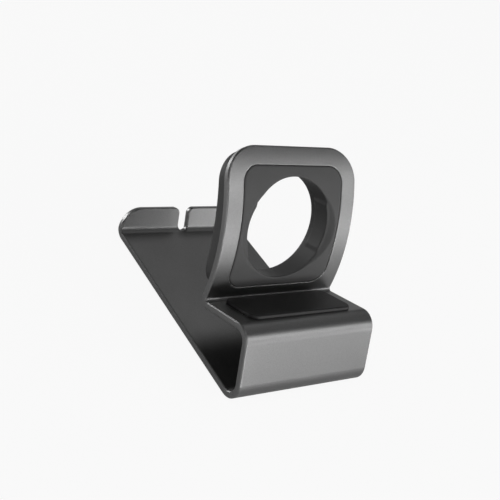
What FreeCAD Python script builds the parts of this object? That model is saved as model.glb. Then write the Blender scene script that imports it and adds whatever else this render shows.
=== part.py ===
import FreeCAD, Part
import math
import os

# Smartwatch charging dock.
# One strip of aluminium is folded into a base, a front wall, a sloping shelf and a curved
# back rest. A soft moulded cradle sits in a window of the back rest and grips a round
# magnetic charger. A soft pad lies on the shelf and another one under the base.
# Millimetres. X is the width, +Y points to the rear, +Z up.
# The origin is on the table, below the middle of the whole dock.

# Folded strip
strip_width = 45.0
strip_thickness = 2.0
edge_break = 0.3

lip_length = 5.6
lip_lean = 21.6
lip_bend_radius = 2.2
lip_corner_radius = 7.4

base_length = 65.4

front_bend_radius = 3.0
front_wall_length = 11.3
front_wall_lean = 21.6

shelf_bend_radius = 2.8
shelf_length = 14.4
shelf_fall = 20.6

valley_bend_radius = 0.8

back_face_radius = 53.6
back_face_length = 42.8
back_corner_radius = 9.6

# Cable slot in the rear lip
slot_width = 3.3
slot_mouth_radius = 2.0
slot_depth_in_bend = 1.9

# Window of the back rest
window_width = 34.6
window_height = 34.2
window_corner_radius = 4.6
window_foot_gap = 2.7
window_edge_break = 0.12

# Charger cradle: the plug that fills the window
cradle_window_gap = 0.1
plug_edge_rounding = 0.35

# Charger cradle: the bore, which leans down a little, and its two grip pads
charger_diameter = 27.9
grip_squeeze = 0.05
bore_clearance = 0.45
bore_tilt = 1.9
grip_half_angle = 27.0
grip_ramp_angle = 4.5
grip_length = 5.5

# Charger cradle: the shallow funnel round the bore
seat_depth = 1.15
seat_edge_radius = 16.4
seat_brim_radius = 1.5
seat_brim_rise = 0.06

# Charger cradle: the body behind the strip
cradle_depth = 8.9
cradle_rear_radius = 69.0
cradle_strip_gap = 0.0
flange_side = 2.5
flange_top = 2.0
flange_foot = 2.5
flange_corner_radius = 7.9
flange_edge_break = 0.5
rear_ring_width = 2.4
rear_ring_depth = 0.15

# Soft pad on the shelf
shelf_pad_width = 35.4
shelf_pad_length = 14.0
shelf_pad_thickness = 1.1
shelf_pad_corner_radius = 2.7
shelf_pad_rounding = 0.45

# Soft pad under the base
base_pad_thickness = 0.8
base_pad_side_margin = 2.5
base_pad_end_margin = 1.5
base_pad_corner_radius = 5.0

# Overlength of the cutting tools, so that no cut ends on a face
tool_reach = 4.0

# Nearer than this, two points count as the same place
same_place = 0.0001
# Faces at more than about 60 degrees to each other meet in a sharp edge
sharp_cosine = 0.5

half_width = strip_width / 2.0
half_thickness = strip_thickness / 2.0


def vector(x, y, z):
    return FreeCAD.Vector(x, y, z)


def direction(heading):
    """Unit step in the Y-Z plane for a heading in degrees, 0 along +Y and 90 along +Z."""
    angle = math.radians(heading)
    return vector(0, math.cos(angle), math.sin(angle))


def left_of(heading):
    return direction(heading + 90.0)


class Stretch:
    """One straight run or one bend of the strip's middle line, seen from the side."""

    def __init__(self, start, heading, length=0.0, turn=0.0, radius=0.0):
        self.start = start
        self.heading = heading
        self.turn = turn
        self.radius = radius
        if turn:
            side = 1.0 if turn > 0 else -1.0
            self.centre = start + left_of(heading) * (side * radius)
            self.end = self.centre - left_of(heading + turn) * (side * radius)
        else:
            self.centre = None
            self.end = start + direction(heading) * length
        self.end_heading = heading + turn

    def face_point(self, share, offset):
        """Point at a share of the stretch, at an offset to the left of the middle line."""
        if self.turn:
            heading = self.heading + self.turn * share
            side = 1.0 if self.turn > 0 else -1.0
            return self.centre + left_of(heading) * (offset - side * self.radius)
        return self.start + (self.end - self.start) * share + left_of(self.heading) * offset

    def face_edge(self, offset):
        first = self.face_point(0.0, offset)
        last = self.face_point(1.0, offset)
        if self.turn:
            return Part.Arc(first, self.face_point(0.5, offset), last).toShape()
        return Part.LineSegment(first, last).toShape()


def fold_strip():
    """The middle line from the top of the rear lip to the top of the back rest."""
    lip_heading = 270.0 - lip_lean
    wall_heading = 90.0 - front_wall_lean
    shelf_heading = -shelf_fall
    back_radius = back_face_radius - half_thickness
    back_turn = math.degrees(back_face_length / back_face_radius)

    runs = {}
    runs["lip"] = Stretch(vector(0, 0, 0), lip_heading, length=lip_length)
    runs["lip_bend"] = Stretch(runs["lip"].end, lip_heading, turn=180.0 - lip_heading,
                               radius=lip_bend_radius + half_thickness)
    runs["base"] = Stretch(runs["lip_bend"].end, 180.0, length=base_length)
    runs["front_bend"] = Stretch(runs["base"].end, 180.0, turn=wall_heading - 180.0,
                                 radius=front_bend_radius + half_thickness)
    runs["wall"] = Stretch(runs["front_bend"].end, wall_heading, length=front_wall_length)
    runs["shelf_bend"] = Stretch(runs["wall"].end, wall_heading,
                                 turn=shelf_heading - wall_heading,
                                 radius=shelf_bend_radius + half_thickness)
    runs["shelf"] = Stretch(runs["shelf_bend"].end, shelf_heading, length=shelf_length)
    runs["valley"] = Stretch(runs["shelf"].end, shelf_heading, turn=90.0 - shelf_heading,
                             radius=valley_bend_radius + half_thickness)
    runs["back"] = Stretch(runs["valley"].end, 90.0, turn=-back_turn, radius=back_radius)
    return runs


def place_strip(runs):
    """Shift that centres the dock over the origin and stands it on the lower pad."""
    front = runs["front_bend"].centre.y - front_bend_radius - strip_thickness
    rear = runs["lip"].face_point(0.0, half_thickness).y
    rear = rear - edge_break * math.sin(math.radians(lip_lean))
    bottom = runs["base"].end.z - half_thickness
    return vector(0, -(front + rear) / 2.0, base_pad_thickness - bottom)


def local_frame(origin, heading):
    """Placement whose X stays, whose Y follows the heading and whose Z is left of it."""
    return FreeCAD.Placement(origin, FreeCAD.Rotation(vector(1, 0, 0), heading))


def rounded_block(width, length, corner_radius, bottom, top, middle_y=0.0):
    """Upright block with a rounded rectangular outline, centred on X and on middle_y."""
    block = Part.makeBox(width, length, top - bottom,
                         vector(-width / 2.0, middle_y - length / 2.0, bottom))
    upright = [edge for edge in block.Edges
               if abs(edge.Vertexes[0].Point.z - edge.Vertexes[-1].Point.z) > 0.5 * (top - bottom)]
    return block.makeFillet(corner_radius, upright)


def level_edges(solid, height):
    """Edges that lie wholly at one height."""
    found = []
    for edge in solid.Edges:
        box = edge.BoundBox
        if abs(box.ZMin - height) < same_place and abs(box.ZMax - height) < same_place:
            found.append(edge)
    return found


def corner_tool(radius, side):
    """What a rounded corner takes away at the end of a strip, whose end is at y = 0."""
    corner_x = side * half_width
    block = Part.makeBox(radius + tool_reach, radius + tool_reach, 2 * tool_reach,
                         vector(0, -radius, -tool_reach))
    if side < 0:
        block.translate(vector(corner_x - tool_reach, 0, 0))
    else:
        block.translate(vector(corner_x - radius, 0, 0))
    disc = Part.makeCylinder(radius, 2 * tool_reach,
                             vector(corner_x - side * radius, -radius, -tool_reach))
    return block.cut(disc)


def slot_tool():
    """Open slot with a round end and rounded mouth corners, for a strip ending at y = 0."""
    radius = slot_width / 2.0
    lowest = lip_length + slot_depth_in_bend
    block = Part.makeBox(slot_width, lowest - radius + tool_reach, 2 * tool_reach,
                         vector(-radius, radius - lowest, -tool_reach))
    end = Part.makeCylinder(radius, 2 * tool_reach, vector(0, radius - lowest, -tool_reach))
    tool = block.fuse(end)
    for side in (-1.0, 1.0):
        left = -radius - slot_mouth_radius if side < 0 else radius
        mouth = Part.makeBox(slot_mouth_radius, slot_mouth_radius + tool_reach, 2 * tool_reach,
                             vector(left, -slot_mouth_radius, -tool_reach))
        corner = Part.makeCylinder(slot_mouth_radius, 2 * tool_reach,
                                   vector(side * (radius + slot_mouth_radius),
                                          -slot_mouth_radius, -tool_reach))
        mouth = mouth.cut(corner)
        overlap = Part.makeBox(2 * (radius + slot_mouth_radius), tool_reach, 2 * tool_reach,
                               vector(-radius - slot_mouth_radius, 0, -tool_reach))
        tool = tool.fuse(mouth.cut(overlap))
    return tool.removeSplitter()


def window_frame(runs):
    """Placement on the front face of the back rest at the middle of its window."""
    back = runs["back"]
    half_arc = back_face_radius * math.asin(window_height / 2.0 / back_face_radius)
    heading = 90.0 - math.degrees((window_foot_gap + half_arc) / back_face_radius)
    return local_frame(back.centre + left_of(heading) * back_face_radius, heading)


def in_frame(shape, frame):
    placed = shape.copy()
    placed.Placement = frame.multiply(placed.Placement)
    return placed


def sharp_edges(solid):
    """Edges where two faces meet at about a right angle, so neither bend lines nor chamfers."""
    faces_of = {}
    for face in solid.Faces:
        for edge in face.Edges:
            faces_of.setdefault(edge.hashCode(), []).append((edge, face))
    found = []
    for pairs in faces_of.values():
        if len(pairs) != 2 or pairs[0][1].isSame(pairs[1][1]):
            continue
        edge = pairs[0][0]
        middle = edge.valueAt((edge.FirstParameter + edge.LastParameter) / 2.0)
        normals = []
        for _, face in pairs:
            u, v = face.Surface.parameter(middle)
            normals.append(face.normalAt(u, v))
        if abs(normals[0].dot(normals[1])) < sharp_cosine:
            found.append(edge)
    return found


def make_folded_stand(runs):
    """The folded strip: its side profile drawn out over the width, then trimmed."""
    order = ["lip", "lip_bend", "base", "front_bend", "wall", "shelf_bend", "shelf", "valley",
             "back"]
    one_side = [runs[name].face_edge(half_thickness) for name in order]
    other_side = [runs[name].face_edge(-half_thickness) for name in reversed(order)]
    first_end = Part.LineSegment(runs["lip"].face_point(0.0, -half_thickness),
                                 runs["lip"].face_point(0.0, half_thickness)).toShape()
    last_end = Part.LineSegment(runs["back"].face_point(1.0, half_thickness),
                                runs["back"].face_point(1.0, -half_thickness)).toShape()
    outline = Part.Wire(Part.__sortEdges__([first_end] + one_side + [last_end] + other_side))
    outline.translate(vector(-half_width, 0, 0))
    stand = Part.Face(outline).extrude(vector(strip_width, 0, 0))

    back_end = local_frame(runs["back"].end, runs["back"].end_heading)
    lip_end = local_frame(runs["lip"].start, runs["lip"].heading + 180.0)
    for side in (-1.0, 1.0):
        stand = stand.cut(in_frame(corner_tool(back_corner_radius, side), back_end))
        stand = stand.cut(in_frame(corner_tool(lip_corner_radius, side), lip_end))
    stand = stand.cut(in_frame(slot_tool(), lip_end))
    stand = stand.makeChamfer(edge_break, sharp_edges(stand))
    window = rounded_block(window_width, window_height, window_corner_radius,
                           -cradle_depth, tool_reach)
    window = in_frame(window, window_frame(runs))
    stand = stand.cut(window)
    rims = [edge for edge in sharp_edges(stand) if edge.distToShape(window)[0] < same_place]
    return stand.makeChamfer(window_edge_break, rims)


def polar(radius, degrees):
    angle = math.radians(degrees)
    return vector(radius * math.cos(angle), radius * math.sin(angle), 0)


def arc_through(radius, first, last):
    """Arc about the bore's axis between two angles in degrees."""
    middle = polar(radius, (first + last) / 2.0)
    return Part.Arc(polar(radius, first), middle, polar(radius, last)).toShape()


def make_bore_tool(bore_radius, bottom, top):
    """The charger's bore, with two side pads left standing that grip the charger."""
    grip_radius = charger_diameter / 2.0 - grip_squeeze
    grip = grip_half_angle
    ramp = grip_half_angle + grip_ramp_angle

    edges = []
    for turn in (0.0, 180.0):
        edges.append(arc_through(grip_radius, turn - grip, turn + grip))
        edges.append(Part.LineSegment(polar(grip_radius, turn + grip),
                                      polar(bore_radius, turn + ramp)).toShape())
        edges.append(arc_through(bore_radius, turn + ramp, turn + 180.0 - ramp))
        edges.append(Part.LineSegment(polar(bore_radius, turn + 180.0 - ramp),
                                      polar(grip_radius, turn + 180.0 - grip)).toShape())
    outline = Part.Face(Part.Wire(Part.__sortEdges__(edges)))

    grip_bottom = -seat_depth - grip_length
    outline.translate(vector(0, 0, grip_bottom))
    gripping = outline.extrude(vector(0, 0, top - grip_bottom))
    plain = Part.makeCylinder(bore_radius, grip_bottom - bottom, vector(0, 0, bottom))
    return gripping.fuse(plain)


def make_seat_tool(bore_radius):
    """A shallow funnel round the bore, which turns over into a rounded brim."""
    slope = math.atan2(seat_depth + seat_brim_rise, seat_edge_radius - bore_radius)
    brim_length = seat_brim_radius * math.tan(slope / 2.0)
    brim_middle = vector(seat_edge_radius + brim_length, 0, seat_brim_rise - seat_brim_radius)

    def on_brim(angle):
        step = vector(-math.sin(angle), 0, math.cos(angle))
        return brim_middle + step * seat_brim_radius

    axis_floor = vector(0, 0, -seat_depth)
    bore_rim = vector(bore_radius, 0, -seat_depth)
    brim_end = on_brim(0.0)
    outer_top = vector(brim_end.x, 0, tool_reach)
    axis_top = vector(0, 0, tool_reach)
    profile = Part.Wire([
        Part.LineSegment(axis_floor, bore_rim).toShape(),
        Part.LineSegment(bore_rim, on_brim(slope)).toShape(),
        Part.Arc(on_brim(slope), on_brim(slope / 2.0), brim_end).toShape(),
        Part.LineSegment(brim_end, outer_top).toShape(),
        Part.LineSegment(outer_top, axis_top).toShape(),
        Part.LineSegment(axis_top, axis_floor).toShape(),
    ])
    return Part.Face(profile).revolve(vector(0, 0, 0), vector(0, 0, 1), 360.0)


def edges_on_drum(solid, turning_point, radius):
    """Edges that lie on a drum whose axis runs along X through a point."""
    found = []
    for edge in solid.Edges:
        first, last = edge.ParameterRange
        on_drum = True
        for share in (0.0, 0.5, 1.0):
            offset = edge.valueAt(first + (last - first) * share) - turning_point
            if abs(math.hypot(offset.y, offset.z) - radius) > same_place:
                on_drum = False
        if on_drum:
            found.append(edge)
    return found


def drum(radius, turning_point):
    start = vector(-strip_width, turning_point.y, turning_point.z)
    return Part.makeCylinder(radius, 2 * strip_width, start, vector(1, 0, 0))


def make_charger_cradle(frame):
    """Soft moulding: a plug that fills the window and a wider body behind the strip."""
    strip_middle = vector(0, 0, -back_face_radius)
    lowest = -cradle_depth - tool_reach

    plug_width = window_width - 2 * cradle_window_gap
    plug_height = window_height - 2 * cradle_window_gap
    plug_corner_radius = window_corner_radius - cradle_window_gap
    plug_end_in_body = strip_thickness - cradle_depth
    plug = rounded_block(plug_width, plug_height, plug_corner_radius, plug_end_in_body,
                         tool_reach)
    plug = plug.common(drum(back_face_radius, strip_middle))
    front_edges = edges_on_drum(plug, strip_middle, back_face_radius)
    plug = plug.makeFillet(plug_edge_rounding, front_edges)

    rear_middle = vector(0, 0, -cradle_depth - cradle_rear_radius)
    body_width = window_width + 2 * flange_side
    body_height = window_height + flange_top + flange_foot
    body = rounded_block(body_width, body_height, flange_corner_radius, lowest, tool_reach,
                         (flange_top - flange_foot) / 2.0)
    body = body.cut(drum(cradle_rear_radius, rear_middle))
    rear_edges = edges_on_drum(body, rear_middle, cradle_rear_radius)
    body = body.makeChamfer(flange_edge_break, rear_edges)
    seat_on_strip = back_face_radius - strip_thickness - cradle_strip_gap
    body = body.common(drum(seat_on_strip, strip_middle))

    bore_radius = charger_diameter / 2.0 + bore_clearance
    ring_face = rear_ring_depth - cradle_depth
    ring = Part.makeCylinder(bore_radius + rear_ring_width, ring_face - lowest,
                             vector(0, 0, lowest))
    cradle = plug.fuse(body).removeSplitter().cut(ring)
    for tool in (make_seat_tool(bore_radius), make_bore_tool(bore_radius, lowest, tool_reach)):
        tool.rotate(vector(0, 0, ring_face), vector(1, 0, 0), bore_tilt)
        cradle = cradle.cut(tool)
    return in_frame(cradle, frame)


def make_shelf_pad(runs):
    """Thin soft pad on the shelf, with a rounded rim on its upper face."""
    shelf = runs["shelf"]
    pad = rounded_block(shelf_pad_width, shelf_pad_length, shelf_pad_corner_radius,
                        0.0, shelf_pad_thickness, shelf_pad_length / 2.0)
    pad = pad.makeFillet(shelf_pad_rounding, level_edges(pad, shelf_pad_thickness))
    top_face = shelf.face_point(0.0, half_thickness)
    return in_frame(pad, local_frame(top_face, shelf.heading))


def make_base_pad(runs):
    """Thin soft pad under the flat of the base, which the dock stands on."""
    base = runs["base"]
    length = base_length - 2 * base_pad_end_margin
    width = strip_width - 2 * base_pad_side_margin
    middle_y = (base.start.y + base.end.y) / 2.0
    return rounded_block(width, length, base_pad_corner_radius, 0.0, base_pad_thickness,
                         middle_y)


def main():
    runs = fold_strip()
    shift = place_strip(runs)
    for stretch in runs.values():
        stretch.start = stretch.start + shift
        stretch.end = stretch.end + shift
        if stretch.centre is not None:
            stretch.centre = stretch.centre + shift

    parts = {
        "folded_stand": make_folded_stand(runs),
        "charger_cradle": make_charger_cradle(window_frame(runs)),
        "shelf_pad": make_shelf_pad(runs),
        "base_pad": make_base_pad(runs),
    }
    os.makedirs("parts", exist_ok=True)
    for name, shape in parts.items():
        shape.Solids[0].exportStep(os.path.join("parts", name + ".step"))
        print(name, len(shape.Solids), shape.isValid(), round(shape.Volume, 1))


main()
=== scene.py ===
import bpy
from mathutils import Matrix, Vector

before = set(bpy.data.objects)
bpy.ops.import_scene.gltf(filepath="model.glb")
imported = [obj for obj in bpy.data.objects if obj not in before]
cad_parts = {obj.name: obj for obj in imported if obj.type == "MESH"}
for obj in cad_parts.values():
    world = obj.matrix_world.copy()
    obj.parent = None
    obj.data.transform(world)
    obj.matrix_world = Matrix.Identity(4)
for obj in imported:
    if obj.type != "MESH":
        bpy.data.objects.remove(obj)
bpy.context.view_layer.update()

# Whites of the studio as a share of full white
FLOOR_SEEN = 0.92
# The floor's white in the metal near the object is painted shade, darker where the object's own shade
# would fall
FLOOR_MIRRORED_PAINTED_SHADE = 0.11
FLOOR_PAINT = 0.9
BACKDROP_SEEN = 0.93
CEILING = 0.05

# Lengths of the studio in metres, the last two measured from the middle of the object
FLOOR_SIZE = 6.0
FLOOR_DROP = 0.00002
# The floor's painted shade, seen in the metal, is full at the first distance and gone at the second
PAINTED_SHADE_NEAR = 0.04
PAINTED_SHADE_FAR = 0.30

# Sine of the angle above the horizon at which the mirrored backdrop has faded into the ceiling
BACKDROP_TOP = 0.12

# Range that holds nearly all values of a noise
NOISE_RANGE = (0.3, 0.7)

# Depth of the grain in every surface, in metres
GRAIN_DEPTH = 0.00001

# Camera of the photograph, lengths of the lens in millimetres and the place in metres
LENS = 66.149
SENSOR_WIDTH = 36.0
SHIFT_X = -0.001
SHIFT_Y = 0.001
CAMERA_PLACE = (-0.161605, -0.159504, 0.157654)

# Turn of the view as an axis times an angle in radians, for a view along +Z with Y down
CAMERA_TURN = (2.1642, -0.3923, 0.7087)


def new_material(name):
    """A material with a Principled shader, and its node tree."""
    material = bpy.data.materials.new(name)
    material.use_nodes = True
    tree = material.node_tree
    tree.nodes.clear()
    output = tree.nodes.new("ShaderNodeOutputMaterial")
    shader = tree.nodes.new("ShaderNodeBsdfPrincipled")
    tree.links.new(shader.outputs["BSDF"], output.inputs["Surface"])
    return material, tree, shader


def noise(tree, scale, detail, roughness):
    """Noise in object space, in cycles per metre."""
    place = tree.nodes.new("ShaderNodeTexCoord")
    texture = tree.nodes.new("ShaderNodeTexNoise")
    texture.inputs["Scale"].default_value = scale
    texture.inputs["Detail"].default_value = detail
    texture.inputs["Roughness"].default_value = roughness
    tree.links.new(place.outputs["Object"], texture.inputs["Vector"])
    return texture.outputs["Fac"]


def spread(tree, value, target, source=NOISE_RANGE):
    """Map a value from its source range onto a target range, and hold it there."""
    node = tree.nodes.new("ShaderNodeMapRange")
    node.inputs["From Min"].default_value = source[0]
    node.inputs["From Max"].default_value = source[1]
    node.inputs["To Min"].default_value = target[0]
    node.inputs["To Max"].default_value = target[1]
    tree.links.new(value, node.inputs["Value"])
    return node.outputs["Result"]


def tint(tree, value, greys):
    """Mix a dark and a light grey by a noise value."""
    dark, light = greys
    node = tree.nodes.new("ShaderNodeMix")
    node.data_type = "RGBA"
    node.inputs["A"].default_value = (dark, dark, dark, 1.0)
    node.inputs["B"].default_value = (light, light, light, 1.0)
    tree.links.new(spread(tree, value, (0.0, 1.0)), node.inputs["Factor"])
    return node.outputs["Result"]


def maths(tree, operation, first, second):
    """Join two values, each a socket or a number."""
    node = tree.nodes.new("ShaderNodeMath")
    node.operation = operation
    for value, socket in ((first, node.inputs[0]), (second, node.inputs[1])):
        if isinstance(value, float):
            socket.default_value = value
        else:
            tree.links.new(value, socket)
    return node.outputs["Value"]


def soft_edges(tree, radius):
    """Normal that rounds every edge off a little, as blasting and moulding do."""
    node = tree.nodes.new("ShaderNodeBevel")
    node.samples = 6
    node.inputs["Radius"].default_value = radius
    return node.outputs["Normal"]


def relief(tree, shader, grain, normal):
    """Bump of the grain's real depth on top of a normal."""
    node = tree.nodes.new("ShaderNodeBump")
    node.inputs["Distance"].default_value = GRAIN_DEPTH
    tree.links.new(grain, node.inputs["Height"])
    tree.links.new(normal, node.inputs["Normal"])
    tree.links.new(node.outputs["Normal"], shader.inputs["Normal"])


def anodised_aluminium():
    """Bead-blasted dark grey anodised aluminium: a fine even grain and a satin sheen."""
    material, tree, shader = new_material("blasted_anodised_aluminium")
    shader.inputs["Metallic"].default_value = 1.0
    grain = noise(tree, scale=4200.0, detail=2.0, roughness=0.6)
    cloud = noise(tree, scale=90.0, detail=3.0, roughness=0.5)
    tree.links.new(tint(tree, grain, greys=(0.192, 0.234)), shader.inputs["Base Color"])
    tree.links.new(spread(tree, cloud, (0.37, 0.41)), shader.inputs["Roughness"])
    relief(tree, shader, grain, soft_edges(tree, radius=0.00045))
    return material


def moulded_rubber(name, greys, roughness, sheen, softness):
    """Matt moulded rubber with a very fine spark-eroded skin."""
    material, tree, shader = new_material(name)
    grain = noise(tree, scale=5200.0, detail=2.0, roughness=0.6)
    cloud = noise(tree, scale=120.0, detail=2.0, roughness=0.5)
    tree.links.new(tint(tree, cloud, greys), shader.inputs["Base Color"])
    tree.links.new(spread(tree, grain, roughness), shader.inputs["Roughness"])
    shader.inputs["Specular IOR Level"].default_value = sheen
    relief(tree, shader, grain, soft_edges(tree, softness))
    return material


def dress(node, material):
    """Give a CAD node one material on every slot."""
    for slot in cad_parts[node].material_slots:
        slot.material = material


def white_by_ray(tree, seen, mirrored):
    """One white for the camera and for rays through glass, and another for reflections."""
    ray = tree.nodes.new("ShaderNodeLightPath")
    direct = maths(tree, "MAXIMUM", ray.outputs["Is Camera Ray"], ray.outputs["Is Transmission Ray"])
    direct = maths(tree, "MULTIPLY", direct, seen)
    reflected = maths(tree, "MULTIPLY", ray.outputs["Is Glossy Ray"], mirrored)
    return maths(tree, "MAXIMUM", direct, reflected)


def pale_floor():
    """Near white with a soft shadow. In the metal it carries painted shade, dark near the object and
    white further out.
    """
    material = bpy.data.materials.new("pale_floor")
    material.use_nodes = True
    tree = material.node_tree
    tree.nodes.clear()
    place = tree.nodes.new("ShaderNodeNewGeometry")
    distance = tree.nodes.new("ShaderNodeVectorMath")
    distance.operation = "LENGTH"
    tree.links.new(place.outputs["Position"], distance.inputs[0])
    # Painted shade around the object, seen only in reflections: dark near it, white further out
    painted_shade_to_white = (FLOOR_MIRRORED_PAINTED_SHADE, FLOOR_SEEN)
    mirrored = spread(tree, distance.outputs["Value"], painted_shade_to_white, source=(PAINTED_SHADE_NEAR, PAINTED_SHADE_FAR))
    diffuse = tree.nodes.new("ShaderNodeBsdfDiffuse")
    diffuse.inputs["Color"].default_value = (FLOOR_PAINT, FLOOR_PAINT, FLOOR_PAINT, 1.0)
    glow = tree.nodes.new("ShaderNodeEmission")
    glow.inputs["Color"].default_value = (1.0, 1.0, 1.0, 1.0)
    glow.inputs["Strength"].default_value = 1.0
    mix = tree.nodes.new("ShaderNodeMixShader")
    output = tree.nodes.new("ShaderNodeOutputMaterial")
    tree.links.new(white_by_ray(tree, FLOOR_SEEN, mirrored), mix.inputs[0])
    tree.links.new(diffuse.outputs["BSDF"], mix.inputs[1])
    tree.links.new(glow.outputs["Emission"], mix.inputs[2])
    tree.links.new(mix.outputs["Shader"], output.inputs["Surface"])
    return material


def studio_world():
    """White backdrop that the metal mirrors near the horizon, under a dark grey ceiling."""
    world = bpy.data.worlds.new("studio")
    world.use_nodes = True
    tree = world.node_tree
    place = tree.nodes.new("ShaderNodeTexCoord")
    axes = tree.nodes.new("ShaderNodeSeparateXYZ")
    tree.links.new(place.outputs["Generated"], axes.inputs["Vector"])
    greys = (BACKDROP_SEEN, CEILING)
    mirrored = spread(tree, axes.outputs["Z"], greys, source=(0.0, BACKDROP_TOP))
    white = white_by_ray(tree, BACKDROP_SEEN, mirrored)
    backdrop = tree.nodes["Background"]
    backdrop.inputs["Strength"].default_value = 1.0
    tree.links.new(maths(tree, "MAXIMUM", white, CEILING), backdrop.inputs["Color"])
    return world


def softbox(name, place, aim_height, size, watts):
    """Rectangular studio lamp, hidden from the camera, that faces a point above the origin."""
    lamp = bpy.data.lights.new(name, "AREA")
    lamp.shape = "RECTANGLE"
    lamp.size, lamp.size_y = size
    lamp.energy = watts
    holder = bpy.data.objects.new(name, lamp)
    scene.collection.objects.link(holder)
    holder.location = place
    aim = Vector((0.0, 0.0, aim_height)) - Vector(place)
    holder.rotation_euler = aim.to_track_quat("-Z", "Y").to_euler()
    holder.visible_camera = False


def photo_camera():
    """Camera at the photograph's place, turned from Y down to Blender's view along -Z with Y up."""
    turn = Vector(CAMERA_TURN)
    solved = Matrix.Rotation(turn.length, 3, turn.normalized())
    facing = solved.transposed() @ Matrix(((1, 0, 0), (0, -1, 0), (0, 0, -1)))
    lens = bpy.data.cameras.new("camera")
    lens.sensor_width = SENSOR_WIDTH
    lens.lens = LENS
    lens.shift_x = SHIFT_X
    lens.shift_y = SHIFT_Y
    lens.clip_start = 0.01
    lens.clip_end = 20.0
    camera = bpy.data.objects.new("camera", lens)
    scene.collection.objects.link(camera)
    camera.matrix_world = Matrix.Translation(CAMERA_PLACE) @ facing.to_4x4()
    return camera


scene = bpy.context.scene
scene.view_settings.view_transform = "Standard"

# Materials of the object
dress("folded_stand", anodised_aluminium())
cradle_rubber = moulded_rubber(
    "cradle_rubber", greys=(0.074, 0.082), roughness=(0.54, 0.62), sheen=0.3, softness=0.0009
)
dress("charger_cradle", cradle_rubber)
pad_rubber = moulded_rubber(
    "pad_rubber", greys=(0.014, 0.017), roughness=(0.48, 0.56), sheen=0.35, softness=0.0003
)
dress("shelf_pad", pad_rubber)
dress("base_pad", pad_rubber)

# Floor and backdrop
bpy.ops.mesh.primitive_plane_add(size=FLOOR_SIZE, location=(0.0, 0.0, -FLOOR_DROP))
floor = bpy.context.object
floor.name = "floor"
floor.data.materials.append(pale_floor())
scene.world = studio_world()

# Low lamps in front, which the front wall and the back rest mirror
softbox("low_left", (0.20, -0.90, 0.055), aim_height=0.055, size=(0.30, 0.10), watts=2.35)
softbox("low_right", (0.80, -0.44, 0.055), aim_height=0.055, size=(0.30, 0.10), watts=1.35)
softbox("low_middle", (0.42, -0.80, 0.13), aim_height=0.055, size=(0.60, 0.10), watts=0.45)

# Higher lamps, which light the rubber and the surfaces that face up
softbox("front_high", (0.50, -0.62, 0.45), aim_height=0.02, size=(0.50, 0.24), watts=1.5)
softbox("left_front", (-0.73, -0.50, 0.27), aim_height=0.05, size=(0.28, 0.48), watts=0.75)
softbox("left_high", (-0.50, 0.57, 0.55), aim_height=0.04, size=(0.30, 0.25), watts=0.07)
softbox("top_left", (-0.34, -0.22, 0.88), aim_height=0.02, size=(0.50, 0.50), watts=1.15)
softbox("top_right", (0.55, 0.10, 0.75), aim_height=0.02, size=(0.60, 0.50), watts=0.25)
softbox("top_rear", (0.45, 0.55, 0.65), aim_height=0.02, size=(0.50, 0.40), watts=0.34)

# Low lamp behind, which gives the back rest a rim of light
softbox("rear_rim", (-0.30, 0.82, 0.065), aim_height=0.05, size=(0.34, 0.12), watts=2.0)

scene.camera = photo_camera()
